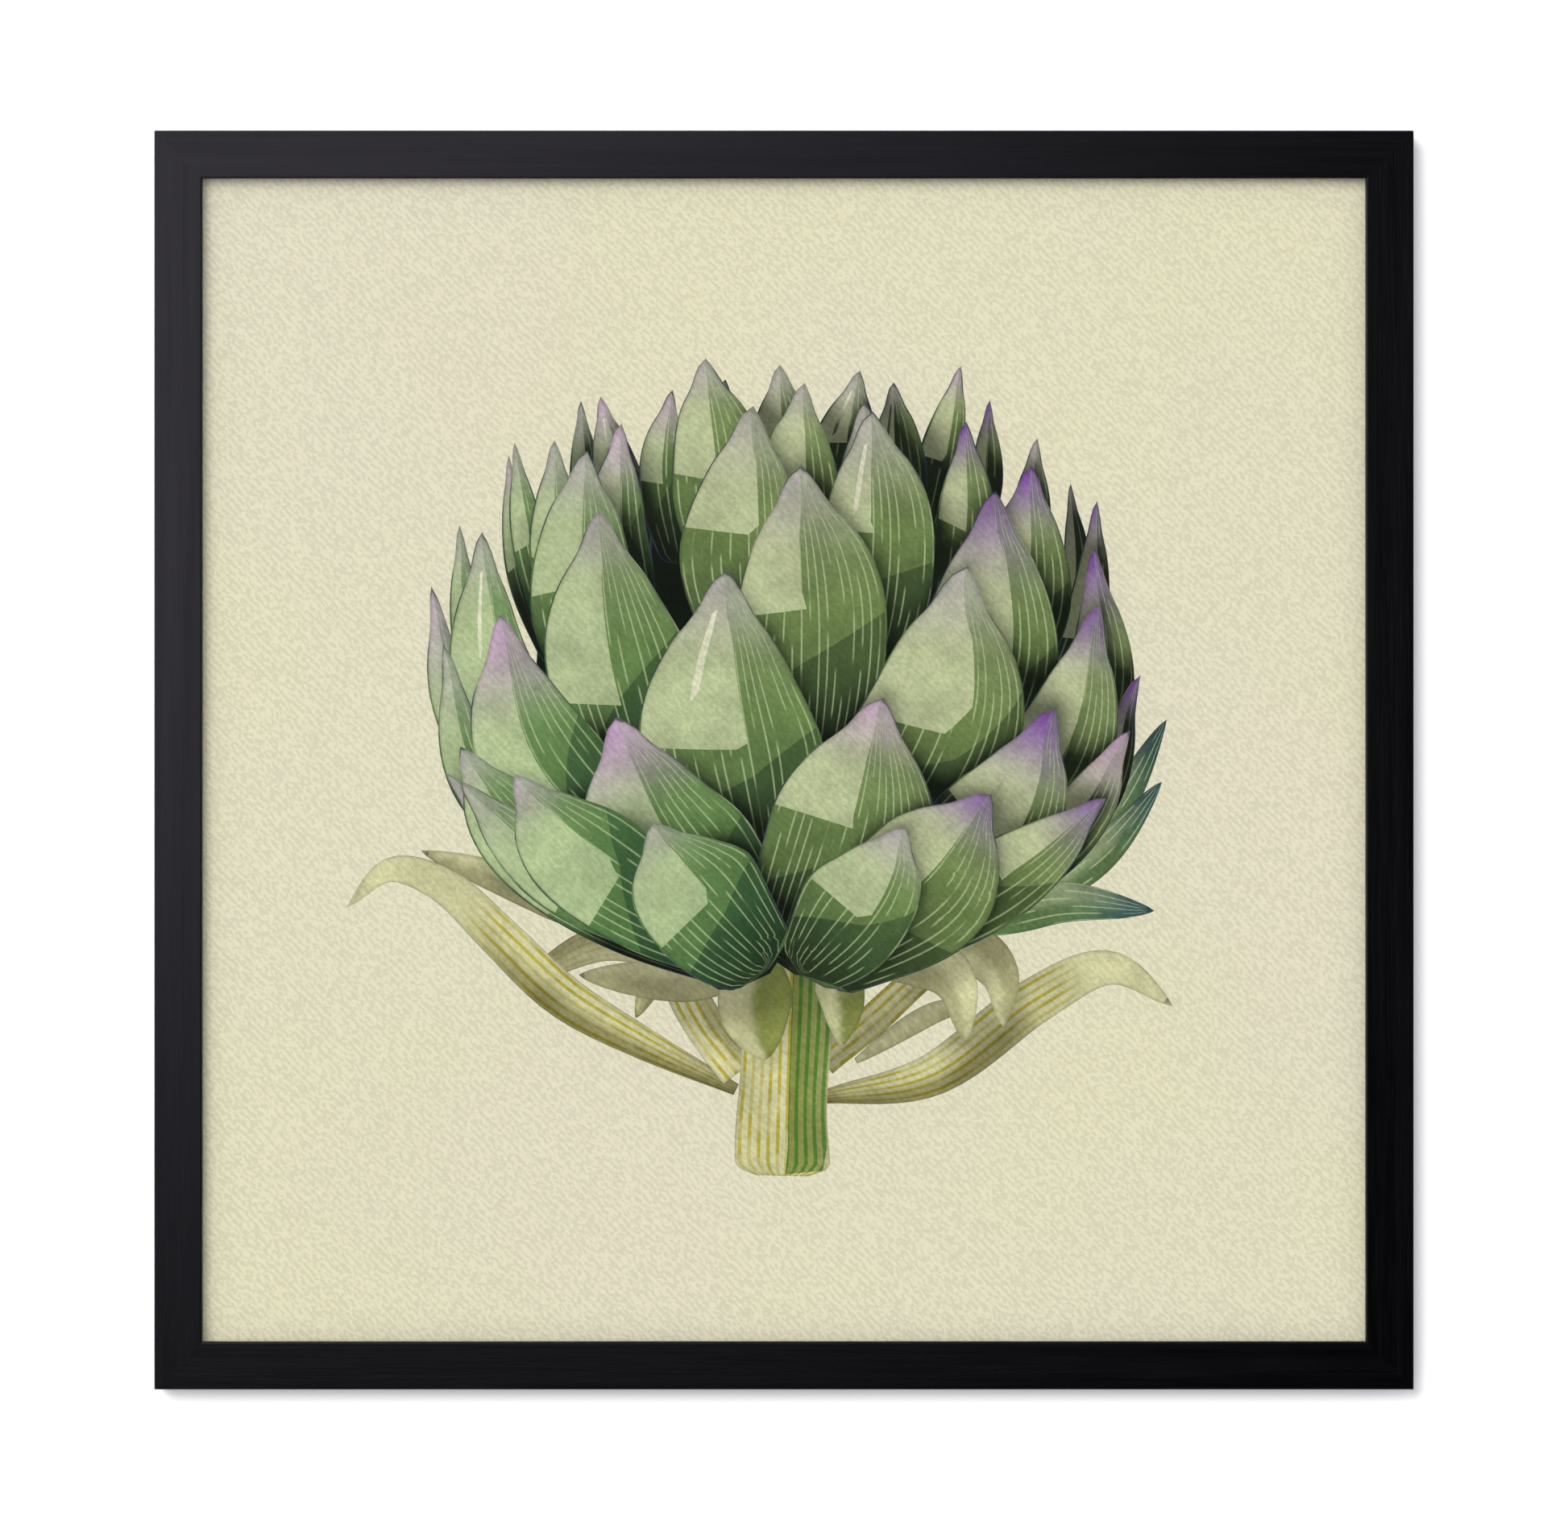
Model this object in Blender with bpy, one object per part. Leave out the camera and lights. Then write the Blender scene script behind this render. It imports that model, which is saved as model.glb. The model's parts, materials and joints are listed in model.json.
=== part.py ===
"""A square picture behind clear glazing in a narrow black wooden frame, which hangs on a nail in a wall.

Metres, +Z up. X runs to the right of someone facing the picture, who looks along +Y, so the wall is at +Y.
The origin is the seat of the wall nail: the middle notch of the sawtooth hanger on the back of the top rail.
"""

import math

import bmesh
import bpy
from mathutils import Matrix, Vector

# Driving dimensions: the picture's trade size and the moulding that it is framed in.
PICTURE = 0.500
FACE_WIDTH = 0.020
RAIL_DEPTH = 0.030
LIP_OVERLAP = 0.007
LIP_THICKNESS = 0.006

# Room left between pieces: round the sheets in their rabbet, between pieces that touch, and in the glued mitres.
SHEET_CLEARANCE = 0.0005
GAP = 0.0003
MITRE_GAP = 0.0001

# Sheets in the rabbet, from the front.
GLAZING_THICKNESS = 0.002
PRINT_THICKNESS = 0.0005
BACKING_THICKNESS = 0.003

# Rounding of the moulding's edges.
FRONT_EDGE_RADIUS = 0.0010
BACK_EDGE_RADIUS = 0.0005
ARC_STEPS = 4

# Sawtooth hanger: a steel strip whose middle is bent away from the wood, so that the nail's head fits behind it.
HANGER_LENGTH = 0.046
HANGER_HEIGHT = 0.009
HANGER_THICKNESS = 0.0008
HANGER_STANDOFF = 0.0030
HANGER_BRIDGE = 0.024
HANGER_SLOPE = 0.0035
HANGER_CORNER = 0.0020
TOOTH_PITCH = 0.0025
TOOTH_DEPTH = 0.0015
TOOTH_COUNT = 8

# Screws that hold the hanger.
SCREW_HEAD_RADIUS = 0.0024
SCREW_HEAD_HEIGHT = 0.0013
SCREW_SHANK_RADIUS = 0.0010
SCREW_THREAD_RADIUS = 0.0012
SCREW_THREAD_PITCH = 0.0010
SCREW_LENGTH = 0.0090
SCREW_POINT = 0.0020
DRIVE_LENGTH = 0.0026
DRIVE_WIDTH = 0.0006
DRIVE_DEPTH = 0.0007

# Flexible steel tabs, pushed into the rabbet's walls to hold the sheets in.
TAB_WIDTH = 0.010
TAB_THICKNESS = 0.0005
TAB_IN_WOOD = 0.006
TAB_OVER_BOARD = 0.015
TAB_CORNER = 0.0025
TAB_PLACES = (-0.180, -0.060, 0.060, 0.180)

# V-nails, two to a corner, driven in from the back across each mitre.
V_NAIL_INSETS = {"outer": 0.0036, "inner": 0.0082}
V_NAIL_WING = 0.0045
V_NAIL_THICKNESS = 0.0006
V_NAIL_LENGTH = 0.007
V_NAIL_HALF_ANGLE = math.radians(50)

# Round pads that keep the lower edge off the wall.
PAD_RADIUS = 0.0055
PAD_RIM_RADIUS = 0.0010
PAD_WALL_GAP = 0.0006
PAD_FROM_CORNER = 0.030

ROUND_SEGMENTS = 32
SMOOTH_BELOW = math.radians(35)
QUARTER_TURNS = {"top": 0, "right": 1, "bottom": 2, "left": 3}
CORNER_TURNS = {"top_right": 0, "bottom_right": 1, "bottom_left": 2, "top_left": 3}

# Worked out from the above. Depths run from the front of the frame towards the wall.
HALF = PICTURE / 2 - LIP_OVERLAP + FACE_WIDTH
SHEET_HALF = PICTURE / 2
RABBET_HALF = SHEET_HALF + SHEET_CLEARANCE
RABBET_WALL = HALF - RABBET_HALF
GLAZING_DEPTH = LIP_THICKNESS + GAP
PRINT_DEPTH = GLAZING_DEPTH + GLAZING_THICKNESS + GAP
BACKING_DEPTH = PRINT_DEPTH + PRINT_THICKNESS + GAP
TAB_DEPTH = BACKING_DEPTH + BACKING_THICKNESS + GAP

# Places in the row frame. The hanger's raised bridge is centred on Y = 0, and its notches end at Z = 0.
RAIL_BACK_Y = -HANGER_THICKNESS / 2 - HANGER_STANDOFF
FRONT_Y = RAIL_BACK_Y - RAIL_DEPTH
EAR_FRONT_Y = RAIL_BACK_Y + GAP
EAR_BACK_Y = EAR_FRONT_Y + HANGER_THICKNESS
WALL_Y = HANGER_THICKNESS / 2 + PAD_WALL_GAP
HANGER_MIDDLE_Z = HANGER_HEIGHT / 2 - TOOTH_DEPTH
EAR_MIDDLE_X = (HANGER_LENGTH / 2 + HANGER_BRIDGE / 2 + HANGER_SLOPE) / 2
CENTRE_Z = HANGER_MIDDLE_Z + RABBET_WALL / 2 - HALF


# ---------------------------------------------------------------- helpers


def clear_scene():
    for obj in list(bpy.data.objects):
        bpy.data.objects.remove(obj)


def material(name, colour, roughness, metallic=0.0, transmission=0.0):
    made = bpy.data.materials.new(name)
    made.use_nodes = True
    shader = made.node_tree.nodes["Principled BSDF"]
    shader.inputs["Base Color"].default_value = (*colour, 1.0)
    shader.inputs["Roughness"].default_value = roughness
    shader.inputs["Metallic"].default_value = metallic
    shader.inputs["Transmission Weight"].default_value = transmission
    made.diffuse_color = (*colour, 1.0)
    return made


def arc(centre, radius, start_deg, end_deg, steps=ARC_STEPS):
    """Points on a circle in the plane of an outline, both ends included."""
    angles = [math.radians(start_deg + (end_deg - start_deg) * i / steps) for i in range(steps + 1)]
    return [(centre[0] + radius * math.cos(a), centre[1] + radius * math.sin(a)) for a in angles]


def rectangle(left, right, bottom, top):
    return [(left, bottom), (right, bottom), (right, top), (left, top)]


def join_rings(bm, rings):
    """Closes a row of matching rings of vertices into one body: walls between them and a cap at each end."""
    bm.faces.new(rings[0])
    bm.faces.new(rings[-1][::-1])
    for near, far in zip(rings, rings[1:]):
        for i in range(len(near)):
            j = (i + 1) % len(near)
            bm.faces.new((near[j], near[i], far[i], far[j]))


def add_prism(bm, outline, start, end, along="Y"):
    """Adds a closed prism: an outline in X and Z carried along Y, or one in X and Y carried along Z."""
    rings = []
    for reach in (start, end):
        corners = [(u, reach, v) if along == "Y" else (u, v, reach) for u, v in outline]
        rings.append([bm.verts.new(corner) for corner in corners])
    join_rings(bm, rings)


def add_turned(bm, profile):
    """Adds a closed body turned about the Y axis from (radius, y) points, with flat ends."""
    angles = [math.tau * i / ROUND_SEGMENTS for i in range(ROUND_SEGMENTS)]
    rings = []
    for radius, y in profile:
        rings.append([bm.verts.new((radius * math.cos(a), y, radius * math.sin(a))) for a in angles])
    join_rings(bm, rings)


def finished_mesh(bm, name, surface=None):
    """Turns all faces outwards, and shades smooth except across the sharper edges."""
    bmesh.ops.recalc_face_normals(bm, faces=bm.faces)
    mesh = bpy.data.meshes.new(name)
    bm.to_mesh(mesh)
    bm.free()
    mesh.shade_smooth()
    mesh.set_sharp_from_angle(angle=SMOOTH_BELOW)
    if surface:
        mesh.materials.append(surface)
    return mesh


def place(name, mesh, parent=None, location=(0, 0, 0), turn_y=0.0):
    obj = bpy.data.objects.new(name, mesh)
    bpy.context.scene.collection.objects.link(obj)
    obj.parent = parent
    obj.location = location
    obj.rotation_euler = (0, turn_y, 0)
    return obj


def cut(obj, tool, operation="DIFFERENCE"):
    """Cuts obj with a placed tool, which stays in the file as a wire guide."""
    tool.hide_render = True
    tool.display_type = "WIRE"
    boolean = obj.modifiers.new(tool.name, "BOOLEAN")
    boolean.operation = operation
    boolean.object = tool
    boolean.solver = "EXACT"


# ---------------------------------------------------------------- frame


def rail_section():
    """The moulding's section as (distance in from the outer edge, depth)."""
    front, back = FRONT_EDGE_RADIUS, BACK_EDGE_RADIUS
    return [
        *arc((front, front), front, 180, 270),
        *arc((FACE_WIDTH - front, front), front, 270, 360),
        (FACE_WIDTH, LIP_THICKNESS),
        (RABBET_WALL, LIP_THICKNESS),
        (RABBET_WALL, RAIL_DEPTH),
        *arc((back, RAIL_DEPTH - back), back, 90, 180),
    ]


def rail_mesh(surface):
    """The top rail about the picture's centre: the moulding's section, mitred at both ends."""
    bm = bmesh.new()
    setback = MITRE_GAP / math.sqrt(2)
    ends = []
    for side in (-1, 1):
        corners = [
            (side * (HALF - inset - setback), FRONT_Y + depth, HALF - inset)
            for inset, depth in rail_section()
        ]
        ends.append([bm.verts.new(corner) for corner in corners])
    join_rings(bm, ends)
    return finished_mesh(bm, "rail", surface)


def tab_outline(along=0.0):
    """A tab's plan on the top rail: a blunt point in the wood, and a free end with round corners."""
    left, right = along - TAB_WIDTH / 2, along + TAB_WIDTH / 2
    free_end, wood_end = RABBET_HALF - TAB_OVER_BOARD, RABBET_HALF + TAB_IN_WOOD
    return [
        *arc((left + TAB_CORNER, free_end + TAB_CORNER), TAB_CORNER, 180, 270),
        *arc((right - TAB_CORNER, free_end + TAB_CORNER), TAB_CORNER, 270, 360),
        (right, wood_end - TAB_CORNER),
        (right - TAB_CORNER, wood_end),
        (left + TAB_CORNER, wood_end),
        (left, wood_end - TAB_CORNER),
    ]


def v_outline(inset, spread=0.0):
    """A V-nail's plan in the top right corner, about the picture's centre. Its slot has some spread."""
    half = V_NAIL_THICKNESS / 2 + spread
    wing = V_NAIL_WING + spread
    along, across = math.cos(V_NAIL_HALF_ANGLE), math.sin(V_NAIL_HALF_ANGLE)
    outer_tip = Vector((wing * along - half * across, wing * across + half * along))
    inner_tip = Vector((wing * along + half * across, wing * across - half * along))
    mirror = Matrix(((1, 0), (0, -1)))
    point, crotch = Vector((-half / across, 0)), Vector((half / across, 0))
    plan = [point, mirror @ outer_tip, mirror @ inner_tip, crotch, inner_tip, outer_tip]
    towards_centre = Matrix.Rotation(math.radians(225), 2)
    return [tuple(towards_centre @ corner + Vector((HALF - inset, HALF - inset))) for corner in plan]


def slot_mesh():
    """What each rail loses: slots for its tabs in the rabbet's wall, and for the V-nails at both mitres."""
    bm = bmesh.new()
    tab_start = FRONT_Y + TAB_DEPTH - GAP
    tab_end = FRONT_Y + TAB_DEPTH + TAB_THICKNESS + GAP
    slot_end = RABBET_HALF + TAB_IN_WOOD + GAP
    for along in TAB_PLACES:
        half = TAB_WIDTH / 2 + GAP
        add_prism(bm, rectangle(along - half, along + half, RABBET_HALF - GAP, slot_end), tab_start, tab_end)
    for inset in V_NAIL_INSETS.values():
        for mirror in (1, -1):
            plan = [(x * mirror, z) for x, z in v_outline(inset, GAP)]
            add_prism(bm, plan, RAIL_BACK_Y - V_NAIL_LENGTH - 2 * GAP, RAIL_BACK_Y + V_NAIL_LENGTH)
    return finished_mesh(bm, "slots")


def hole_tool(name, x):
    """A round tool on a hanger screw's axis, through the hanger's ear and as deep as the screw."""
    bm = bmesh.new()
    radius = SCREW_THREAD_RADIUS + GAP
    add_turned(bm, [(radius, EAR_BACK_Y - SCREW_LENGTH - GAP), (radius, EAR_BACK_Y + GAP)])
    return place(name, finished_mesh(bm, "screw_hole"), location=(x, 0, HANGER_MIDDLE_Z))


def make_rails(centre, surface):
    mesh, slots = rail_mesh(surface), slot_mesh()
    rails = {}
    for side, quarter in QUARTER_TURNS.items():
        turn = quarter * math.pi / 2
        rails[side] = place(f"rail_{side}", mesh, centre, turn_y=turn)
        cut(rails[side], place(f"slots_{side}", slots, centre, turn_y=turn))
    return rails


def make_v_nails(centre, surface):
    for row, inset in V_NAIL_INSETS.items():
        bm = bmesh.new()
        add_prism(bm, v_outline(inset), RAIL_BACK_Y - GAP - V_NAIL_LENGTH, RAIL_BACK_Y - GAP)
        mesh = finished_mesh(bm, "v_nail", surface)
        for corner, quarter in CORNER_TURNS.items():
            place(f"v_nail_{corner}_{row}", mesh, centre, turn_y=quarter * math.pi / 2)


def make_tabs(centre, surface):
    for number, along in enumerate(TAB_PLACES, start=1):
        bm = bmesh.new()
        add_prism(bm, tab_outline(along), FRONT_Y + TAB_DEPTH, FRONT_Y + TAB_DEPTH + TAB_THICKNESS)
        mesh = finished_mesh(bm, "flex_tab", surface)
        for side, quarter in QUARTER_TURNS.items():
            place(f"flex_tab_{side}_{number}", mesh, centre, turn_y=quarter * math.pi / 2)


# ---------------------------------------------------------------- sheets


def make_sheet(name, centre, depth, thickness, surface):
    bm = bmesh.new()
    outline = rectangle(-SHEET_HALF, SHEET_HALF, -SHEET_HALF, SHEET_HALF)
    add_prism(bm, outline, FRONT_Y + depth, FRONT_Y + depth + thickness)
    place(name, finished_mesh(bm, name, surface), centre)


# ---------------------------------------------------------------- hanger


def mirrored(right_half):
    """A whole line from its right half, whose points run outwards from the middle."""
    return [(-x, y) for x, y in reversed(right_half)] + right_half


def hanger_strip():
    """The bent strip seen from above, as (x, y): two ears on the wood and a raised bridge between them."""
    bridge, foot, end = HANGER_BRIDGE / 2, HANGER_BRIDGE / 2 + HANGER_SLOPE, HANGER_LENGTH / 2
    raised_y = -HANGER_THICKNESS / 2
    wood_side = mirrored([(bridge, raised_y), (foot, EAR_FRONT_Y), (end, EAR_FRONT_Y)])
    # Both bends keep the strip's thickness, which moves them outwards on the side towards the wall.
    bend = math.atan2(raised_y - EAR_FRONT_Y, HANGER_SLOPE)
    shift = HANGER_THICKNESS * math.tan(bend / 2)
    raised_back_y = raised_y + HANGER_THICKNESS
    wall_side = mirrored([(bridge + shift, raised_back_y), (foot + shift, EAR_BACK_Y), (end, EAR_BACK_Y)])
    return wood_side + wall_side[::-1]


def hanger_plan():
    """The strip's plan as (x, z): round corners, and a row of teeth that point down along the bridge."""
    corner, end = HANGER_CORNER, HANGER_LENGTH / 2
    low, high = -TOOTH_DEPTH, HANGER_HEIGHT - TOOTH_DEPTH
    row_half = TOOTH_PITCH * TOOTH_COUNT / 2
    teeth = []
    for i in range(TOOTH_COUNT):
        teeth += [(i * TOOTH_PITCH - row_half, 0), ((i + 0.5) * TOOTH_PITCH - row_half, low)]
    return [
        *arc((-end + corner, low + corner), corner, 180, 270),
        (-row_half - TOOTH_PITCH / 2, low),
        *teeth,
        (row_half, 0),
        (row_half + TOOTH_PITCH / 2, low),
        *arc((end - corner, low + corner), corner, 270, 360),
        *arc((end - corner, high - corner), corner, 0, 90),
        *arc((-end + corner, high - corner), corner, 90, 180),
    ]


def make_hanger(surface):
    strip = bmesh.new()
    add_prism(strip, hanger_strip(), -HANGER_HEIGHT, 2 * HANGER_HEIGHT, along="Z")
    hanger = place("sawtooth_hanger", finished_mesh(strip, "sawtooth_hanger", surface))
    plan = bmesh.new()
    add_prism(plan, hanger_plan(), RAIL_BACK_Y - HANGER_STANDOFF, HANGER_STANDOFF)
    cut(hanger, place("hanger_plan", finished_mesh(plan, "hanger_plan")), "INTERSECT")
    return hanger


def screw_profile():
    """A small pan-head wood screw as (radius, y), from its blunt tip to the middle of its head."""
    under_head = EAR_BACK_Y + GAP
    tip = EAR_BACK_Y - SCREW_LENGTH
    neck = tip + SCREW_POINT
    profile = [(SCREW_SHANK_RADIUS / 4, tip), (SCREW_SHANK_RADIUS, neck)]
    for i in range(int((under_head - neck) / SCREW_THREAD_PITCH) - 1):
        profile.append((SCREW_THREAD_RADIUS, neck + (i + 0.5) * SCREW_THREAD_PITCH))
        profile.append((SCREW_SHANK_RADIUS, neck + (i + 1) * SCREW_THREAD_PITCH))
    profile += [(SCREW_SHANK_RADIUS, under_head), (SCREW_HEAD_RADIUS, under_head)]
    crown = SCREW_HEAD_HEIGHT / 2
    profile += arc((SCREW_HEAD_RADIUS - crown, under_head + crown), crown, 0, 90)
    return profile


def cross_recess():
    """The drive's plan: a cross with four equal arms."""
    arm, half = DRIVE_LENGTH / 2, DRIVE_WIDTH / 2
    outline = []
    for quarter in range(4):
        turn = Matrix.Rotation(-quarter * math.pi / 2, 2)
        outline += [tuple(turn @ Vector(corner)) for corner in ((-half, arm), (half, arm), (half, half))]
    return outline


def make_screw(name, x, surface):
    at = (x, 0, HANGER_MIDDLE_Z)
    body = bmesh.new()
    add_turned(body, screw_profile())
    screw = place(name, finished_mesh(body, "screw", surface), location=at)
    drive = bmesh.new()
    head_top = EAR_BACK_Y + GAP + SCREW_HEAD_HEIGHT
    add_prism(drive, cross_recess(), head_top - DRIVE_DEPTH, head_top + DRIVE_DEPTH)
    cut(screw, place(f"{name}_drive", finished_mesh(drive, "drive"), location=at))


# ---------------------------------------------------------------- pads


def make_pads(centre, surface):
    """Round pads on the bottom rail's back, with a soft rim and a flat face on the wall."""
    bm = bmesh.new()
    rim = arc((PAD_RADIUS - PAD_RIM_RADIUS, WALL_Y - PAD_RIM_RADIUS), PAD_RIM_RADIUS, 0, 90)
    add_turned(bm, [(PAD_RADIUS, RAIL_BACK_Y + GAP), *rim])
    mesh = finished_mesh(bm, "wall_pad", surface)
    x, z = HALF - PAD_FROM_CORNER, RABBET_WALL / 2 - HALF
    place("wall_pad_left", mesh, centre, location=(-x, 0, z))
    place("wall_pad_right", mesh, centre, location=(x, 0, z))


def main():
    clear_scene()
    centre = place("picture_centre", None, location=(0, 0, CENTRE_Z))
    black_wood = material("black_wood", (0.012, 0.011, 0.014), 0.45)
    zinc_steel = material("zinc_steel", (0.55, 0.55, 0.54), 0.38, metallic=1.0)
    brassed_steel = material("brassed_steel", (0.62, 0.47, 0.22), 0.35, metallic=1.0)
    clear_acrylic = material("clear_acrylic", (1.0, 1.0, 1.0), 0.03, transmission=1.0)
    printed_paper = material("printed_paper", (0.737, 0.694, 0.514), 0.9)
    hardboard = material("hardboard", (0.23, 0.13, 0.07), 0.75)
    felt = material("felt", (0.03, 0.03, 0.03), 0.95)

    rails = make_rails(centre, black_wood)
    make_v_nails(centre, zinc_steel)
    make_sheet("glazing", centre, GLAZING_DEPTH, GLAZING_THICKNESS, clear_acrylic)
    make_sheet("art_print", centre, PRINT_DEPTH, PRINT_THICKNESS, printed_paper)
    make_sheet("backing_board", centre, BACKING_DEPTH, BACKING_THICKNESS, hardboard)
    make_tabs(centre, zinc_steel)
    hanger = make_hanger(brassed_steel)
    for side, x in (("left", -EAR_MIDDLE_X), ("right", EAR_MIDDLE_X)):
        make_screw(f"hanger_screw_{side}", x, brassed_steel)
        hole = hole_tool(f"screw_hole_{side}", x)
        cut(rails["top"], hole)
        cut(hanger, hole)
    make_pads(centre, felt)


main()
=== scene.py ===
"""Looks of the framed art print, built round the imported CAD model, in its frame and in metres.

The print's picture is drawn in code, in millimetres from the picture's centre, X to the right and Z up. It is
an artichoke of this script's own design: rows of bracts put on a globe by rule, with a stem and pale leaves.
"""

import json
import math
import random

import bmesh
import bpy
import numpy as np
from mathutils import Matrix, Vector
from mathutils.geometry import delaunay_2d_cdt

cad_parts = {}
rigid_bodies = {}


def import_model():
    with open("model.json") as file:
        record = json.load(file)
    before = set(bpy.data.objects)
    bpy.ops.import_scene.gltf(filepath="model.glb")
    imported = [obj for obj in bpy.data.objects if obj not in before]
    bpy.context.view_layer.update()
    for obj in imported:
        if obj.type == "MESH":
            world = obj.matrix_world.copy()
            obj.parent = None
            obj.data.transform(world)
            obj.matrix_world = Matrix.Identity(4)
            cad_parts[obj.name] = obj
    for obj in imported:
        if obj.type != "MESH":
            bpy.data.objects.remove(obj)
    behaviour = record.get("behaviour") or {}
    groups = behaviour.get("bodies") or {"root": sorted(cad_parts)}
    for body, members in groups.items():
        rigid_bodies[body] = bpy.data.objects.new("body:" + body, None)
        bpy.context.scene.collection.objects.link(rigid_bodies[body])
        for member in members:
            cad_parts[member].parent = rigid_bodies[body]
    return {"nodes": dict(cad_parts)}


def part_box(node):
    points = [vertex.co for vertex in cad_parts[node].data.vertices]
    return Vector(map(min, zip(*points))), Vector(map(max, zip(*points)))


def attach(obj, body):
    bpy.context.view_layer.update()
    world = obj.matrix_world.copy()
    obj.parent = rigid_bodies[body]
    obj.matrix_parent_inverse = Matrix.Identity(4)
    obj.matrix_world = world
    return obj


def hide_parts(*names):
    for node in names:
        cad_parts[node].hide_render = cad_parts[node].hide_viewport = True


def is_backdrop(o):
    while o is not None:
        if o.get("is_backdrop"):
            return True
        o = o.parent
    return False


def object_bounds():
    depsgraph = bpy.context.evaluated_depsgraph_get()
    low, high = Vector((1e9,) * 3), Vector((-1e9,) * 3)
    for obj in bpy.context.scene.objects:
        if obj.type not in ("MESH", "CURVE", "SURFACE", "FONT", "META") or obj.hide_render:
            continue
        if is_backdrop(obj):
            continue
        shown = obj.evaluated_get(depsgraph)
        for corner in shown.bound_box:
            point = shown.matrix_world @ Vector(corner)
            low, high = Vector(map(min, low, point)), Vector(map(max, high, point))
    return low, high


MM = 0.001

# Picture, in millimetres: how finely the sheet is divided inside the painted area and round its edge, how far
# the shade beside a blade and the darkening along its rim reach, and how far apart its veins are.
GRID = 3.0
PAINTED_HALF = 205.0
EDGE_STEP = 12.0
MERGE_WITHIN = 1e-4
SHADE_REACH = 9.0
RIM_REACH = 6.0
VEIN_SPACING = 3.8
STRIPE_SPACING = 4.0

# Steps along a blade's outline and along each side of a facet, and the seed of the random differences.
OUTLINE_STEPS = 32
FACET_STEPS = 7
RANDOM_SEED = 11

# Where a blade's veins end, as a share of its length, if they run all the way.
PAST_TIP = 1.1

# Head of the artichoke, in millimetres. Its globe is as wide as GLOBE_HALF_WIDTH at GLOBE_MIDDLE_Z, and a
# fullness of 2 is an ellipse. A tip keeps to the crown's ring where the globe is narrower. A dark core shows
# between the bracts.
HEAD_X = 1.0
HEAD_BASE_Z = -84.0
GLOBE_MIDDLE_Z = 38.0
GLOBE_HALF_HEIGHT = 136.0
GLOBE_HALF_WIDTH = 142.0
GLOBE_FULLNESS = 2.1
CROWN_RING = 86.0
CORE_BASE_Z = -70.0
CORE_TOP_Z = 104.0
CORE_SHARE = 0.74

# Map of the print's sheet: the front fills FRONT_SHARE of it, and the plain edges and back share a strip.
MAP_MARGIN = 0.002
FRONT_SHARE = 0.976
STRIP_START = 0.982
STRIP_SHARE = 0.016
BACK_SHIFT = 0.018

# Fillers of the mitres, in millimetres: half their thickness, their distance from the rails' edges and from
# the front, how deep they go in the lip, how far in they reach behind it, and their distance from the back.
FILLER_HALF_THICKNESS = 0.049
FILLER_MARGIN = 0.3
FILLER_FRONT = 0.03
FILLER_LIP_DEPTH = 5.6
FILLER_WALL = 2.2
FILLER_BACK_MARGIN = 0.4

# Camera: the width that it sees at the picture's front and its distance from there, in metres, its sensor's
# width in millimetres, and how far it sees, in metres.
VIEW_WIDTH = 0.6548
CAMERA_DISTANCE = 5.0
SENSOR = 36.0
CLIP_END = 50.0

# Stage, in metres: the wall's and the floor's sides, how far the floor is below the picture's centre, and how
# bright the wall glows of its own.
WALL_SIZE = 2.4
WALL_GLOW = 0.22
FLOOR_SIZE = 40.0
FLOOR_DROP = 1.2

# Lights: the way each one shines, its strength, and how wide its source looks, in degrees.
STUDIO_LIGHT = 0.45
KEY_LIGHT = ((0.20, 1.0, -0.21), 2.13, 42)
WALL_LIGHT = ((0.15, 1.0, -0.15), 2.2, 12)
BACK_LIGHT = ((-0.35, -1.0, -0.55), 1.8, 20)

# Paper tooth: one ridge about every 2.6 mm, in radians a metre, and its slant in degrees.
TOOTH_TURNS = 2400.0
TOOTH_SLANT = 45.0

# Sheen on the black rails, from a glowing card in front of them: its strength, how far from the middle it
# fades, and the card's size and distance from the rails, in metres.
SHEEN = 1.05
SHEEN_FALL = 0.36
CARD_SIZE = 5.0
CARD_AHEAD = 0.35

PALETTE = {
    "sage": "B8BD94",
    "sage_cool": "AEBD8E",
    "olive": "6E824A",
    "green": "62854A",
    "deep": "364928",
    "deep_cool": "2D5130",
    "gap": "060E03",
    "glint": "DDD9BE",
    "mauve": "ADA2A6",
    "lilac": "C39DC3",
    "violet": "7A3F9C",
    "teal": "37565A",
    "pale_leaf": "CDC99C",
    "pale_shade": "A8A478",
    "straw": "D3CEA0",
    "stripe_yellow": "B7A630",
    "stripe_brown": "6C6631",
    "stem_green": "858C48",
    "stripe_green": "4C7A2C",
    "vein": "B4C391",
}


def linear(code):
    """Linear RGB of an sRGB hex colour."""
    channels = [int(code[i : i + 2], 16) / 255 for i in (0, 2, 4)]
    return np.array([c / 12.92 if c <= 0.04045 else ((c + 0.055) / 1.055) ** 2.4 for c in channels])


COLOUR = {name: linear(code) for name, code in PALETTE.items()}

# What a stripe multiplies the wash under it by.
STRIPE_YELLOW = (0.70, 0.60, 0.07)
STRIPE_GREEN = (0.31, 0.70, 0.30)


# ---------------------------------------------------------------- picture: blades


def smooth_step(low, high, value):
    """From 0 at low to 1 at high, with a soft start and end."""
    t = np.clip((value - low) / (high - low), 0, 1)
    return t * t * (3 - 2 * t)


def blend(a, b, amount):
    """Mixes two colours, or rows of colours, by an amount for each row."""
    amount = np.asarray(amount)[..., None]
    return a * (1 - amount) + b * amount


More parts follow.
